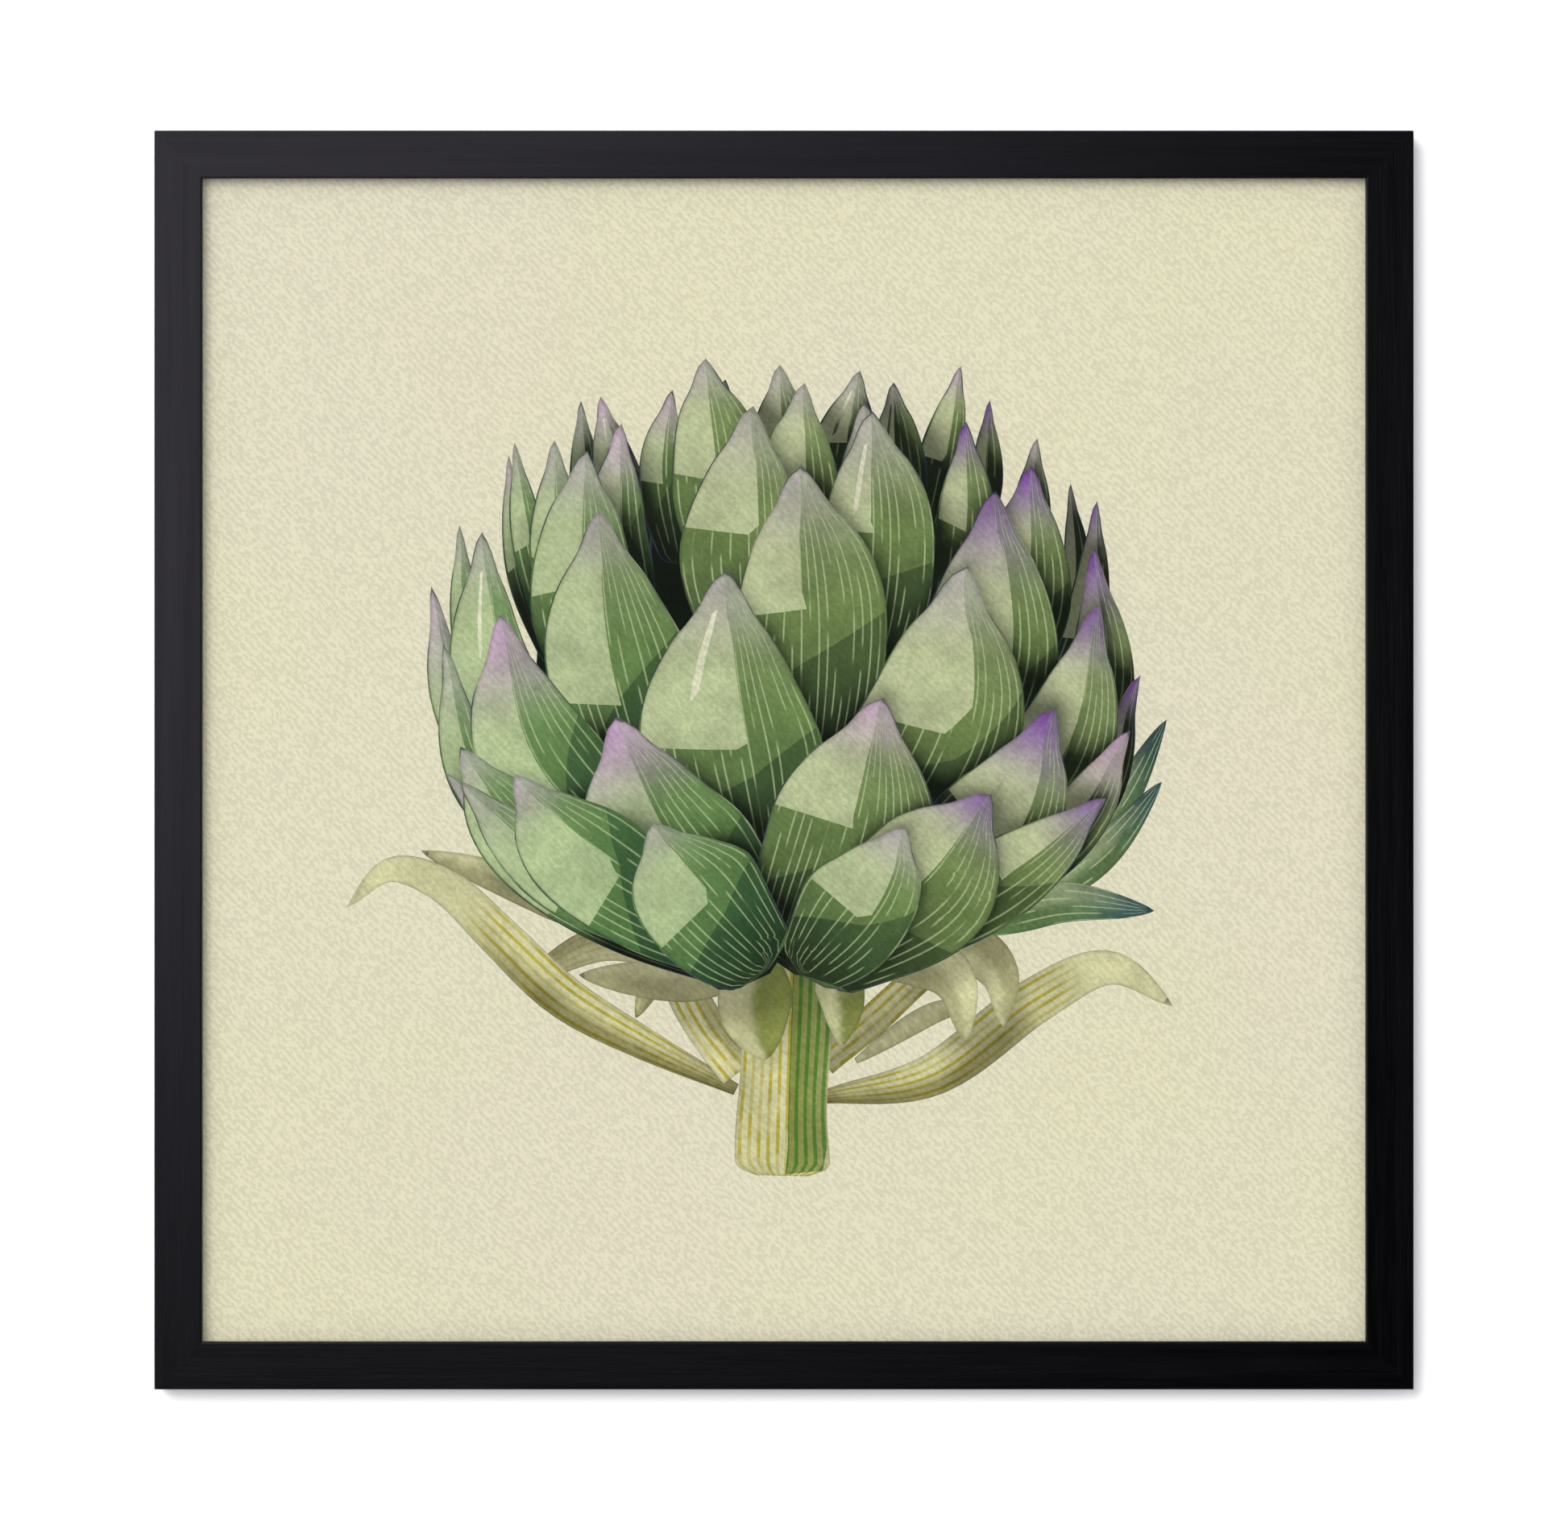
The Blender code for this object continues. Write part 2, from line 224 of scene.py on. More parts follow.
def spline(points, count):
    """A smooth line of count points through a few chosen ones (Catmull-Rom)."""
    knots = np.array(points, float)
    knots = np.vstack([2 * knots[0] - knots[1], knots, 2 * knots[-1] - knots[-2]])
    line = []
    for at in np.linspace(0, len(points) - 1, count):
        i = min(int(at), len(points) - 2)
        t = at - i
        before, start, end, after = knots[i : i + 4]
        slope = end - before
        bend = 2 * before - 5 * start + 4 * end - after
        twist = 3 * start - before - 3 * end + after
        line.append(0.5 * (2 * start + slope * t + bend * t**2 + twist * t**3))
    return np.array(line)


def bract_profile(v):
    """An ogive with a rounded foot: widest below the middle, and drawn out to a narrow, blunt tip."""
    widest = 0.44
    foot = np.sqrt(1 - (1 - np.clip(v / 0.07, 0, 1)) ** 2)
    rise = 0.52 + 0.48 * np.sin(np.clip(v / widest, 0, 1) * math.pi / 2)
    fall = np.cos(np.clip((v - widest) / (1 - widest), 0, 1) * math.pi / 2 * 0.98)
    return foot * rise * fall**0.95 * (1 - 0.14 * np.exp(-(((v - 0.88) / 0.06) ** 2)))


def leaf_profile(v):
    """Half a leaf's width: a narrow foot, then nearly even until it closes at its tip."""
    return (0.25 + 0.75 * np.sin(np.clip(v / 0.45, 0, 1) * math.pi / 2)) * (1 - v**3.0) ** 0.8


def band_profile(v):
    """A side stem, cut off square at both ends."""
    return 1.0 - 0.10 * v


def stem_profile(v):
    """Runs from the cut end, which is rounded, up to the head."""
    end = np.clip(v / 0.07, 0, 1)
    return np.sqrt(1 - (1 - end) ** 2 * 0.7) * (1.0 - 0.06 * np.sin(v * math.pi))


class Blade:
    """A bract, leaf or stem: a midrib from base to tip, with a half width on each side.

    A place on it is (u, v): u from -1 at its left edge to 1 at its right, and v from 0 at its base to 1 at
    its tip. Its veins are pale lines where they are above 0, and darker stripes where they are below. They
    end at veins_until. A higher rim_start softens the contour, and shading is how much the blades in front
    darken it.
    """

    def __init__(
        self,
        midrib,
        half_width,
        profile,
        wash,
        wobble=0.03,
        seed=0.0,
        veins=1.0,
        rim_start=0.0,
        shading=1.0,
        veins_until=PAST_TIP,
    ):
        self.line = spline(midrib, OUTLINE_STEPS)
        tangent = np.gradient(self.line, axis=0)
        tangent /= np.linalg.norm(tangent, axis=1)[:, None]
        self.across = np.stack([tangent[:, 1], -tangent[:, 0]], axis=1)
        self.steps = np.linspace(0, 1, OUTLINE_STEPS)
        width = half_width * profile(self.steps)
        ripple = [1 + wobble * np.sin(self.steps * 9 + seed + side) for side in (0.0, 2.1)]
        self.half = np.maximum(np.stack([width * r for r in ripple]), 0.15)
        self.widest = half_width
        self.wash = wash
        self.seed = seed
        self.veins = veins
        self.rim_start = rim_start
        self.shading = shading
        self.veins_until = veins_until
        self.facets = []

    def at(self, u, v):
        """Where (u, v) is, in the picture."""
        middle = np.array([np.interp(v, self.steps, self.line[:, k]) for k in (0, 1)])
        across = np.array([np.interp(v, self.steps, self.across[:, k]) for k in (0, 1)])
        half = np.interp(v, self.steps, self.half[0 if u < 0 else 1])
        return middle + across * u * half

    def outline(self):
        """Up its right edge and back down its left."""
        right = [self.at(1, v) for v in self.steps]
        left = [self.at(-1, v) for v in self.steps[::-1]]
        return np.array(right + left[1:])

    def facet_outline(self, corners):
        """A facet's outline from its (u, v) corners, in steps, so that its sides bend with the blade."""
        points = []
        for (u0, v0), (u1, v1) in zip(corners, corners[1:] + corners[:1]):
            for i in range(FACET_STEPS):
                t = i / FACET_STEPS
                points.append(self.at(u0 + (u1 - u0) * t, v0 + (v1 - v0) * t))
        return np.array(points)

    def locate(self, points):
        """(u, v, distance in from the outline) of points in the picture."""
        start = self.line[:-1]
        step = np.diff(self.line, axis=0)
        offset = points[:, None] - start
        t = np.clip((offset * step).sum(2) / (step**2).sum(1), 0, 1)
        away = np.linalg.norm(offset - t[..., None] * step, axis=2)
        nearest = away.argmin(1)
        rows = np.arange(len(points))
        v = (nearest + t[rows, nearest]) / (OUTLINE_STEPS - 1)
        middle = np.stack([np.interp(v, self.steps, self.line[:, k]) for k in (0, 1)], axis=1)
        across = np.stack([np.interp(v, self.steps, self.across[:, k]) for k in (0, 1)], axis=1)
        side = ((points - middle) * across).sum(1)
        left, right = [np.interp(v, self.steps, half) for half in self.half]
        u = np.clip(side / np.where(side < 0, left, right), -1, 1)
        return u, v, distance_to(self.outline(), points)


def distance_to(outline, points):
    """Distance of each point from a closed outline."""
    step = np.roll(outline, -1, axis=0) - outline
    offset = points[:, None] - outline
    t = np.clip((offset * step).sum(2) / np.maximum((step**2).sum(1), 1e-12), 0, 1)
    return np.linalg.norm(offset - t[..., None] * step, axis=2).min(1)


# ---------------------------------------------------------------- picture: colours of the washes


def bract_wash(cool, tint, tint_strength, tint_start):
    """Colours over a bract: body, light facet, glint and dark foot, then a tinted tip."""
    sage = blend(COLOUR["sage"], COLOUR["sage_cool"], cool)
    middle = blend(COLOUR["olive"], COLOUR["green"], cool)
    deep = blend(COLOUR["deep"], COLOUR["deep_cool"], cool)

    def wash(layer, u, v):
        if layer == "glint":
            return blend(COLOUR["glint"], sage, 0.3 * smooth_step(0.8, 0.6, v))
        if layer == "light":
            colour = blend(sage, middle, 0.14 * smooth_step(0.7, 0.3, v) + 0.04 * (1 + u))
        elif layer == "dark":
            colour = blend(middle, deep, 0.95 - 0.25 * smooth_step(0.2, 0.6, v))
            colour = blend(colour, COLOUR["gap"], 0.65 * smooth_step(0.36, 0.0, v))
        else:
            colour = blend(middle, deep, 0.15 + 0.45 * smooth_step(0.6, 0.1, v))
            colour = blend(colour, sage, 0.30 * smooth_step(0.5, 0.95, v))
        tinted = 0.75 if layer == "body" else 1.0
        return blend(colour, COLOUR[tint], tinted * tint_strength * smooth_step(tint_start, 0.99, v))

    return wash


def leaf_wash(light, shade, tip=None, shaded_side=1):
    """Colours over a thin leaf: shade along one side, and a tip of its own colour where it has one."""

    def wash(layer, u, v):
        colour = blend(COLOUR[light], COLOUR[shade], 0.85 * smooth_step(-0.05, 0.25, u * shaded_side))
        if tip:
            colour = blend(colour, COLOUR[tip], smooth_step(0.45, 0.95, v))
        return colour

    return wash


def striped_wash(shaded_side):
    """A long pale leaf that turns brown along its lower edge towards its foot."""

    def wash(layer, u, v):
        shaded = smooth_step(-0.2, 0.5, u * shaded_side) * smooth_step(0.62, 0.34, v)
        colour = blend(COLOUR["pale_leaf"], COLOUR["stripe_brown"], 0.75 * shaded)
        return blend(colour, COLOUR["stripe_brown"], 0.4 * smooth_step(0.30, 0.0, v))

    return wash


def stem_wash(layer, u, v):
    """The stem: straw, or green in its green layer, and darker where it goes into the head."""
    colour = blend(COLOUR["stem_green" if layer == "green" else "straw"], COLOUR["pale_shade"], 0.4 * u**2)
    return blend(colour, COLOUR["deep"], 0.45 * smooth_step(0.80, 1.0, v))


# ---------------------------------------------------------------- picture: the artichoke


def globe_half(z):
    """Half the head's width at a height."""
    across = 1 - abs((z - GLOBE_MIDDLE_Z) / GLOBE_HALF_HEIGHT) ** GLOBE_FULLNESS
    return GLOBE_HALF_WIDTH * max(across, 0.03) ** (1 / GLOBE_FULLNESS)


def bract_midrib(rng, sine, cosine, tip_z, length):
    """Foot, middle and tip of a bract on the globe, where it is turned away from the middle of its row."""
    base_z = max(tip_z - length * rng.uniform(0.95, 1.05), HEAD_BASE_Z - 6 * cosine)
    middle_z = base_z * 0.5 + tip_z * 0.5
    spread = 0.28 + 0.46 * smooth_step(HEAD_BASE_Z, HEAD_BASE_Z + 60, base_z)
    tip_ring = max(globe_half(tip_z) + 6, CROWN_RING)
    base = (HEAD_X + sine * min(globe_half(base_z), tip_ring * 1.15) * spread, base_z)
    bulge = 0.76 + 0.17 * smooth_step(HEAD_BASE_Z, HEAD_BASE_Z + 60, middle_z)
    middle = (HEAD_X + sine * min(globe_half(middle_z) * bulge, tip_ring * 0.97), middle_z)
    tip = (HEAD_X + sine * tip_ring + rng.uniform(-6, 6), tip_z)
    return [base, middle, tip]


def head_wash(rng, sine, tip_z):
    """A bract's colours: cooler at the lower left, and often violet at the tip on the right."""
    violet = sine > 0.6 and rng.random() < 0.75
    return bract_wash(
        cool=float(np.clip(0.45 - 0.8 * sine - 0.004 * tip_z, 0, 1)),
        tint="violet" if violet else rng.choice(("lilac", "mauve", "mauve")),
        tint_strength=rng.uniform(0.8, 1.0) if violet else rng.uniform(0.6, 1.0),
        tint_start=rng.uniform(0.60, 0.76),
    )


def head_bract(rng, turn, tip_z, drop, length, half_width):
    """One bract on the globe, at a turn of so many degrees from the middle of its row."""
    turn = math.radians(turn + rng.uniform(-3, 3))
    sine = math.sin(turn)
    cosine = math.cos(turn)
    tip_z += rng.uniform(-9, 9) - drop * (1 - cosine)
    midrib = bract_midrib(rng, sine, cosine, tip_z, length)
    wash = head_wash(rng, sine, tip_z)
    width = half_width * (0.26 + 0.74 * cosine) * rng.uniform(0.9, 1.12)
    blade = Blade(midrib, width, bract_profile, wash, wobble=0.05, seed=rng.uniform(0, 9))
    add_facets(blade, rng)
    return blade


def add_facets(blade, rng):
    """The light facet on a bract's left, with a slanted lower edge, and the darker wash over its foot."""
    rim = 1 - min(0.8 / blade.widest, 0.2)
    split = rng.uniform(-0.12, 0.36)
    low = rng.uniform(0.40, 0.56)
    lean = rng.uniform(-0.10, 0.14)
    light = [(-rim, low), (split * 0.3, low + lean * 0.5 - 0.03), (split, low + lean)]
    light += [(split * 0.9, 0.78), (0.04, 0.985), (-rim, 0.97), (-rim, 0.7)]
    left = rng.uniform(0.18, 0.30)
    right = rng.uniform(0.40, 0.66)
    dark = [(-rim, 0.0), (rim, 0.0), (rim, right), (split, left * 0.4 + right * 0.6 - 0.04), (-rim, left)]
    blade.facets = [("dark", dark), ("light", light)]
    if rng.random() < 0.12:
        start = rng.uniform(-0.5, -0.2)
        glint = [(start, 0.60), (start + 0.10, 0.63), (start + 0.20, 0.88), (start + 0.04, 0.87)]
        blade.facets.append(("glint", glint))


# Each row, from the back: tip height in the middle, drop at the sides, length, half width and turns.
HEAD_ROWS = [
    (170, 30, 74, 14, (-72, -54, -37, -20, -3, 15, 33, 52, 72)),
    (162, 44, 92, 19, (-86, -78, -62, -43, -22, 5, 27, 50, 70, 84)),
    (150, 54, 108, 28, (-84, -52, -14, 21, 56, 86)),
    (120, 46, 134, 34, (-86, -68, -32, 7, 44, 74)),
    (78, 40, 136, 38, (-84, -50, -11, 29, 62, 86)),
    (28, 28, 118, 38, (-86, -70, -28, 12, 50, 80)),
    (-12, 0, 76, 33, (-74, -52, 38, 74)),
    (-30, -20, 62, 27, (-25, 21)),
]


def core_profile(v):
    """Follows the globe, a little inside its edge."""
    return np.array([globe_half(CORE_BASE_Z + (CORE_TOP_Z - CORE_BASE_Z) * t) / GLOBE_HALF_WIDTH for t in v])


def core_wash(layer, u, v):
    """The dark that shows between the bracts."""
    return blend(COLOUR["deep"], COLOUR["gap"], np.full(len(v), 0.6))


def head(rng):
    """The head's dark core and then its bracts, from back to front."""
    midrib = [(HEAD_X, CORE_BASE_Z), (HEAD_X, 0), (HEAD_X, CORE_TOP_Z)]
    blades = [Blade(midrib, CORE_SHARE * GLOBE_HALF_WIDTH, core_profile, core_wash, wobble=0.0, veins=0.0)]
    for *shape, turns in HEAD_ROWS:
        for turn in sorted(turns, key=lambda t: -abs(t)):
            blades.append(head_bract(rng, turn, *shape))
    return blades


def leaf(midrib, half_width, wash, seed, profile=leaf_profile, veins=0.0, veins_until=PAST_TIP):
    """A leaf or stem, with a softer contour than a bract and less shade on it."""
    look = {"rim_start": 0.35, "shading": 0.4, "veins_until": veins_until}
    return Blade(midrib, half_width, profile, wash, seed=seed, veins=veins, **look)


def stem():
    """The stem, with yellow stripes on its left and green ones on its right."""
    blade = leaf([(-1, -174), (0, -132), (2, -72)], 20, stem_wash, 12.0, stem_profile, veins=-1.0)
    blade.facets = [("green", [(0.12, 0.005), (0.97, 0.03), (0.97, 0.99), (0.12, 0.99)])]
    return blade


def leaves():
    """Pale leaves and sepals behind the head, the stem and its side stems, from back to front."""
    pale = leaf_wash("pale_leaf", "pale_shade")
    shaded = leaf_wash("pale_shade", "pale_leaf")
    teal = leaf_wash("sage_cool", "green", tip="teal")
    stalk = leaf_wash("straw", "pale_shade")
    sepal = leaf_wash("stem_green", "pale_leaf")
    low_left = [(-20, -138), (-58, -119), (-92, -99), (-119, -74), (-142, -53), (-165, -46), (-183, -62)]
    low_right = [(16, -141), (62, -132), (104, -101), (136, -87), (163, -103)]
    return [
        leaf([(96, -60), (136, -24), (160, 17)], 8, teal, 1.0, veins=1.0),
        leaf([(92, -66), (132, -40), (158, -9)], 8, teal, 2.0, veins=1.0),
        leaf([(70, -72), (112, -60), (155, -63)], 10, teal, 3.0, veins=1.0),
        leaf([(-56, -76), (-104, -55), (-152, -38)], 9, shaded, 4.0),
        leaf([(-30, -86), (-72, -76), (-112, -94)], 9, pale, 5.0, veins=-0.4),
        leaf(low_left, 10, striped_wash(-1), 5.5, veins=-1.0, veins_until=0.5),
        leaf(low_right, 11, striped_wash(1), 6.5, veins=-1.0, veins_until=0.55),
        leaf([(30, -126), (62, -106), (80, -104)], 5, pale, 7.2),
        leaf([(-18, -130), (-34, -110), (-46, -86)], 9, stalk, 7.0, band_profile, veins=-1.0),
        leaf([(16, -126), (38, -108), (62, -86)], 7, stalk, 8.0, band_profile, veins=-1.0),
        leaf([(-40, -86), (-54, -92), (-62, -108)], 6, shaded, 8.5, veins=-0.6),
        leaf([(40, -82), (74, -78), (90, -90), (92, -112)], 11, shaded, 9.0),
        leaf([(28, -86), (56, -84), (72, -94), (76, -118)], 12, pale, 10.0),
        leaf([(-8, -88), (-48, -92), (-86, -90)], 10, shaded, 11.0),
        stem(),
        leaf([(18, -80), (24, -98), (24, -120)], 11, sepal, 14.0),
        leaf([(-8, -80), (-12, -104), (-8, -126)], 17, sepal, 13.0),
    ]


def square_ring(half):
    """Points round a square's edge, evenly spaced."""
    along = np.linspace(-half, half, int(2 * half / EDGE_STEP) + 1)[:-1]
    sides = [np.stack([along, np.full(len(along), -half)], axis=1)]
    for _ in range(3):
        sides.append(np.stack([-sides[-1][:, 1], sides[-1][:, 0]], axis=1))
    return np.vstack(sides)


def partition(blades, half):
    """Divides the sheet into triangles that follow every outline.

    Returns the points, the triangles, the number of each triangle's layer, or -1 for bare paper, and the
    layers, each with the number of its blade and its name.
    """
    along = np.arange(-PAINTED_HALF, PAINTED_HALF + GRID / 2, GRID)
    inner = np.stack(np.meshgrid(along, along), axis=-1).reshape(-1, 2)
    inner[:, 0] += np.where(np.round(inner[:, 1] / GRID) % 2, GRID / 2, 0) - GRID / 4
    points = [Vector(p) for p in np.vstack([square_ring(half), inner])]
    layers = []
    faces = []
    for index, blade in enumerate(blades):
        outlines = [("body", blade.outline())]
        outlines += [(name, blade.facet_outline(corners)) for name, corners in blade.facets]
        for name, outline in outlines:
            faces.append(list(range(len(points), len(points) + len(outline))))
            points += [Vector(p) for p in outline]
            layers.append((index, name))
    found, _, triangles, _, _, origins = delaunay_2d_cdt(points, [], faces, 0, MERGE_WITHIN)
    owner = np.array([max(origin) if origin else -1 for origin in origins])
    return np.array([tuple(p) for p in found]), np.array(triangles), owner, layers


def occlusion(blades, index, points):
    """How much the blades in front of one shade it: more on their right, and where two of them are near."""
    total = np.zeros(len(points))
    for front in blades[index + 1 :]:
        outline = front.outline()
        low = outline.min(0) - 3 * SHADE_REACH
        high = outline.max(0) + 3 * SHADE_REACH
        near = ((points > low) & (points < high)).all(1)
        if near.any():
            to_right = smooth_step(-12, 12, points[near, 0] - outline[:, 0].mean())
            fading = np.exp(-distance_to(outline, points[near]) / SHADE_REACH)
            total[near] += (0.30 + 0.70 * to_right) * fading
    return total


# How strong the veins are in each layer of a blade, where it isn't 1.
VEIN_STRENGTHS = {"light": 0.12, "dark": 0.8, "glint": 0.0, "green": 2.0}


def paint_points(blades, index, layer, points):
    """Colour, and (vein place, v, vein strength, rim distance), for points in one layer of a blade."""
    blade = blades[index]
    u, v, rim = blade.locate(points)
    shade = occlusion(blades, index, points)
    depth = blade.shading * (0.75 if layer == "light" else 0.97)
    colour = blend(blade.wash(layer, u, v), COLOUR["gap"], depth * smooth_step(0.30, 1.35, shade))
    veins = blade.veins * VEIN_STRENGTHS.get(layer, 1.0)
    veins = veins * smooth_step(blade.veins_until + 0.12, blade.veins_until, v)
    if blade.shading == 1:
        veins *= 1 - 0.85 * smooth_step(0.55, 1.3, shade)
    vein_place = u * blade.widest / (VEIN_SPACING if blade.veins > 0 else STRIPE_SPACING) + blade.seed
    paint = np.column_stack([colour, np.ones(len(points))])
    marks = np.column_stack([vein_place, v, veins, np.minimum(rim + blade.rim_start, RIM_REACH)])
    return paint, marks


def paint_corners(blades, points, triangles, owner, layers):
    """What paint_points gives, for each corner of each triangle. Bare paper has zeros."""
    corners = triangles.reshape(-1)
    corner_owner = np.repeat(owner, 3)
    paint = np.zeros((len(corners), 4))
    marks = np.zeros((len(corners), 4))
    for number, (index, layer) in enumerate(layers):
        mine = np.flatnonzero(corner_owner == number)
        if len(mine):
            places, back = np.unique(corners[mine], return_inverse=True)
            place_paint, place_marks = paint_points(blades, index, layer, points[places])
            paint[mine] = place_paint[back]
            marks[mine] = place_marks[back]
    return paint, marks


def sheet_mesh(points, triangles, half, low, high):
    """The sheet's mesh: the divided front, then plain edges and a back on the front's own edge points."""
    centre = (low + high) / 2
    count = len(points)
    front = np.empty((count, 3))
    front[:, 0] = points[:, 0] * MM + centre.x
    front[:, 1] = low.y
    front[:, 2] = points[:, 1] * MM + centre.z
    edge = [int(np.abs(points - p).sum(1).argmin()) for p in square_ring(half)]
    back = front[edge].copy()
    back[:, 1] = high.y
    verts = np.vstack([front, back])
    size = len(edge)
    faces = [tuple(int(i) for i in t) for t in triangles]
    for i in range(size):
        j = (i + 1) % size
        faces.append((edge[i], count + i, count + j, edge[j]))
    faces.append(tuple(range(count + size - 1, count - 1, -1)))
    mesh = bpy.data.meshes.new("printed_sheet")
    mesh.from_pydata(verts.tolist(), [], faces)
    return mesh


def make_print():
    """The printed sheet in place of the plain CAD one: its front is divided along the picture's outlines."""
    low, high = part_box("art_print")
    half = (high.x - low.x) / 2 / MM
    blades = leaves() + head(random.Random(RANDOM_SEED))
    points, triangles, owner, layers = partition(blades, half)
    paint, marks = paint_corners(blades, points, triangles, owner, layers)

    mesh = sheet_mesh(points, triangles, half, low, high)
    plain = len(mesh.loops) - len(paint)
    for name, values in (("paint", paint), ("marks", marks)):
        layer = mesh.attributes.new(name, "FLOAT_COLOR", "CORNER")
        whole = np.vstack([values, np.zeros((plain, 4))]).astype(np.float32)
        layer.data.foreach_set("color", whole.ravel())
    add_print_uvs(mesh, len(triangles), (low + high) / 2, half)
    mesh.validate()
    mesh.materials.append(print_material())
    sheet = bpy.data.objects.new("printed_sheet", mesh)
    bpy.context.scene.collection.objects.link(sheet)
    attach(sheet, "root")
    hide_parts("art_print")


def add_print_uvs(mesh, front_faces, centre, half):
    """The front fills nearly all of the map, and the plain edges and back share a strip of it."""
    uv = mesh.uv_layers.new(name="OFBake")
    places = np.zeros((len(mesh.loops), 2), np.float32)
    for polygon in mesh.polygons:
        for loop in polygon.loop_indices:
            co = mesh.vertices[mesh.loops[loop].vertex_index].co
            x = (co.x - centre.x) / MM / half / 2 + 0.5
            z = (co.z - centre.z) / MM / half / 2 + 0.5
            if polygon.index < front_faces:
                places[loop] = (MAP_MARGIN + FRONT_SHARE * x, MAP_MARGIN + FRONT_SHARE * z)
            else:
                shift = BACK_SHIFT if co.y > centre.y else 0
                places[loop] = (STRIP_START + STRIP_SHARE * x, MAP_MARGIN + STRIP_SHARE * z + shift)
    uv.data.foreach_set("uv", places.ravel())


# ---------------------------------------------------------------- materials


class Tree:
    """A material's nodes, made with short calls."""

    def __init__(self, name):
        self.material = bpy.data.materials.new(name)
        self.material.use_nodes = True
        self.nodes = self.material.node_tree.nodes
        self.links = self.material.node_tree.links
        self.shader = self.nodes["Principled BSDF"]
        self.output = self.nodes["Material Output"]

    def feed(self, socket, value):
        """Links a socket to another, or sets it to a number, a vector or an RGB colour."""
        if isinstance(value, bpy.types.NodeSocket):
            self.links.new(value, socket)
        elif hasattr(value, "__len__") and len(value) == 3 and len(socket.default_value) == 4:
            socket.default_value = (*value, 1.0)
        else:
            socket.default_value = value

    def make(self, kind, inputs=None, **settings):
        """A node of a kind, with its settings and what feeds its inputs."""
        node = self.nodes.new(kind)
        for name, value in settings.items():
            setattr(node, name, value)
        for key, value in (inputs or {}).items():
            self.feed(node.inputs[key], value)
        return node

    def math(self, operation, a, b=0.0, clamp=False):
        return self.make("ShaderNodeMath", {0: a, 1: b}, operation=operation, use_clamp=clamp).outputs[0]

    def mix(self, a, b, amount, blend_type="MIX"):
        """Colour a, mixed with or multiplied by colour b."""
        node = self.make("ShaderNodeMix", data_type="RGBA", blend_type=blend_type, clamp_factor=True)
        self.feed(node.inputs[0], amount)
        self.feed(node.inputs[6], a)
        self.feed(node.inputs[7], b)
        return node.outputs[2]

    def ramp(self, value, low, high, out_low=0.0, out_high=1.0):
        """From out_low to out_high as the value goes from low to high, with a soft start and end."""
        inputs = {0: value, 1: low, 2: high, 3: out_low, 4: out_high}
        return self.make("ShaderNodeMapRange", inputs, interpolation_type="SMOOTHSTEP").outputs[0]

    def place(self, scale=(1, 1, 1), turn=(0, 0, 0), shift=(0, 0, 0)):
        """Object coordinates, turned and stretched."""
        source = self.make("ShaderNodeTexCoord").outputs["Object"]
        turned = self.make("ShaderNodeMapping", {0: source, 1: shift, 2: turn}).outputs[0]
        return self.make("ShaderNodeMapping", {0: turned, 3: scale}).outputs[0]

    def noise(self, vector, scale, detail=2.0, roughness=0.5):
        inputs = {"Vector": vector, "Scale": scale, "Detail": detail, "Roughness": roughness}
        return self.make("ShaderNodeTexNoise", inputs).outputs[0]

    def scaled(self, colour, amount):
        """A colour with all its channels multiplied by the same amount."""
        grey = self.make("ShaderNodeCombineColor", {0: amount, 1: amount, 2: amount}).outputs[0]
        return self.mix(colour, grey, 1.0, "MULTIPLY")

    def bump(self, height, distance, strength):
        inputs = {"Strength": strength, "Distance": distance, "Height": height}
        return self.make("ShaderNodeBump", inputs).outputs[0]

    def attribute(self, name):
        node = self.make("ShaderNodeAttribute", attribute_name=name)
        return node.outputs["Color"], node.outputs["Alpha"]

    def finish(self, colour, roughness, normal=None, **constants):
        """Feeds the shader, sets its other sockets to constants, and returns the material."""
        for name, value in (("Base Color", colour), ("Roughness", roughness), ("Normal", normal)):
            if value is not None:
                self.feed(self.shader.inputs[name], value)
        for name, value in constants.items():
            self.shader.inputs[name.replace("_", " ")].default_value = value
        return self.material


def rgb(code):
    """A hex colour as the tuple that a node's colour takes."""
    return tuple(linear(code))


def paper_tooth(tree):
    """Height of watercolour paper's felt side: grain and faint, even ridges that run down to the right."""
    slant = (0, math.radians(-TOOTH_SLANT), 0)
    sway = tree.noise(tree.place(), 130, 2.0)
    across = tree.make("ShaderNodeSeparateXYZ", {0: tree.place(turn=slant)}).outputs[2]
    phase = tree.math("ADD", tree.math("MULTIPLY", across, TOOTH_TURNS), tree.math("MULTIPLY", sway, 5.0))
    ridges = tree.ramp(tree.math("SINE", phase), -1, 1)
    grain = tree.noise(tree.place(scale=(1, 1, 1.8), turn=slant), 540, 1.0, 0.5)
    return tree.math("ADD", tree.math("MULTIPLY", ridges, 0.12), tree.math("MULTIPLY", grain, 0.88))


def paper_colour(tree):
    """Cream, with soft pinkish blotches."""
    cloud = tree.noise(tree.place(), 7, 2.0, 0.45)
    blotch = tree.noise(tree.place(shift=(3.1, 0, 1.7)), 5, 1.0, 0.4)
    paper = tree.mix(rgb("E0DAC0"), rgb("E1DABD"), tree.ramp(cloud, 0.42, 0.62))
    return tree.mix(paper, rgb("E1D9C2"), tree.ramp(blotch, 0.48, 0.68, 0.0, 0.8))


